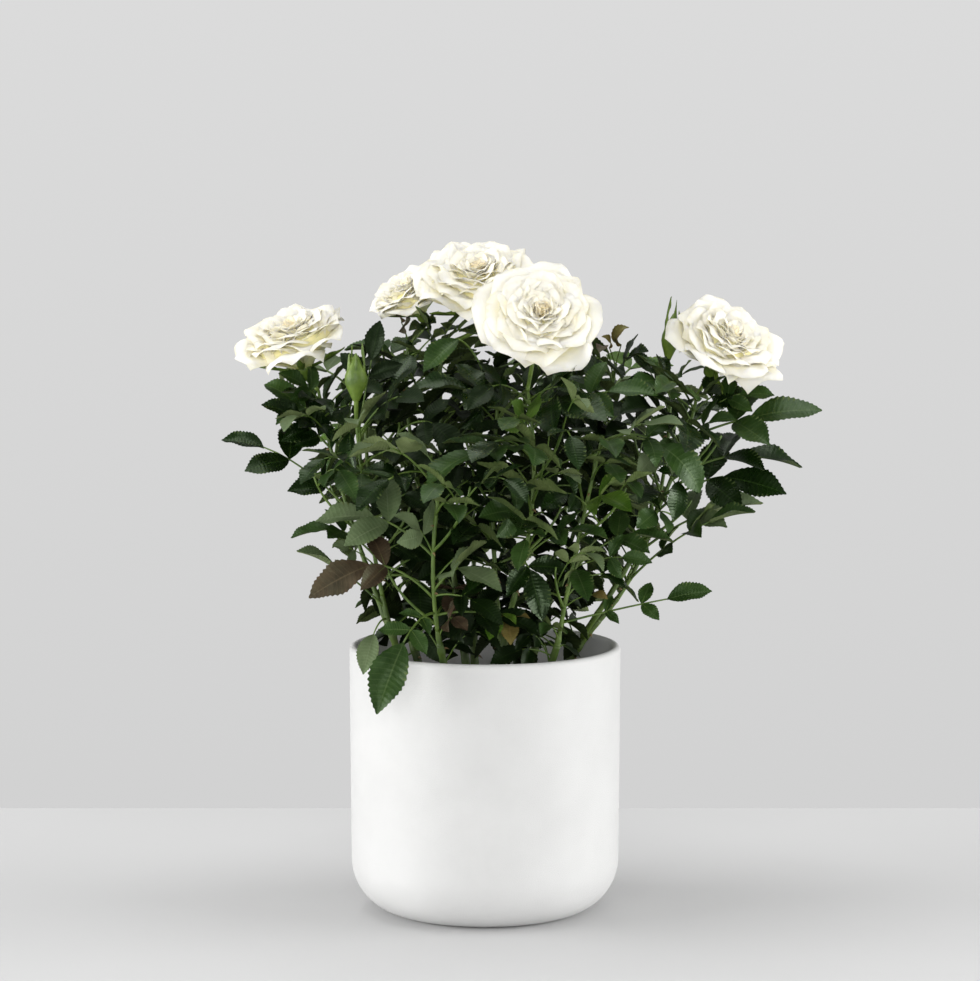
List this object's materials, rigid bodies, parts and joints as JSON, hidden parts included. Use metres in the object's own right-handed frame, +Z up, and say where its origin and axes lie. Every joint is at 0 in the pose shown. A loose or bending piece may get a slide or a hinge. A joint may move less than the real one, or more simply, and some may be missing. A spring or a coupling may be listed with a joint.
{
  "type": "potted miniature rose bush",
  "caption": "Small flowering shrub with open double white flowers and compound leaves, standing in a round flat-based pot.",
  "frame": {"origin": "centre of the pot's flat underside", "axes": "+Z up, +X to the right and +Y to the back, seen from the side that the front flower faces"},
  "size_m": [0.2845, 0.2229, 0.3178],
  "materials": {
    "pot": "matt white, slightly rough",
    "soil": "dark moist peat",
    "stem": "smooth green bark",
    "leaves": "satin leaf, paler below",
    "petals": "soft matt petal",
    "bud": "satin green"
  },
  "bodies": {
    "root": {"stem_left": "stem", "stem_front_left": "stem", "stem_centre": "stem", "stem_front": "stem", "stem_front_right": "stem", "stem_right": "stem", "stem_back_right": "stem", "stem_back": "stem", "stem_back_left": "stem", "bough_left_1": "stem", "bough_left_2": "stem", "bough_front_left_1": "stem", "bough_centre_1": "stem", "bough_centre_2": "stem", "bough_front_1": "stem", "bough_front_2": "stem", "bough_front_right_1": "stem", "bough_right_1": "stem", "bough_right_2": "stem", "bough_back_right_1": "stem", "bough_back_right_2": "stem", "bough_back_1": "stem", "bough_back_2": "stem", "bough_back_left_1": "stem", "bough_back_left_2": "stem", "foliage_left_1": "leaves", "foliage_left_2": "leaves", "foliage_front_left_1": "leaves", "foliage_centre_1": "leaves", "foliage_centre_2": "leaves", "foliage_front_1": "leaves", "foliage_front_2": "leaves", "foliage_front_right_1": "leaves", "foliage_right_1": "leaves", "foliage_right_2": "leaves", "foliage_back_right_1": "leaves", "foliage_back_right_2": "leaves", "foliage_back_1": "leaves", "foliage_back_2": "leaves", "foliage_back_left_1": "leaves", "foliage_back_left_2": "leaves", "bloom_left": "petals", "bloom_top_left": "petals", "bloom_centre": "petals", "bloom_front": "petals", "bloom_right": "petals", "bud_left": "bud", "bud_right": "bud", "pot": "pot", "soil": "soil"}
  },
  "joints": []
}
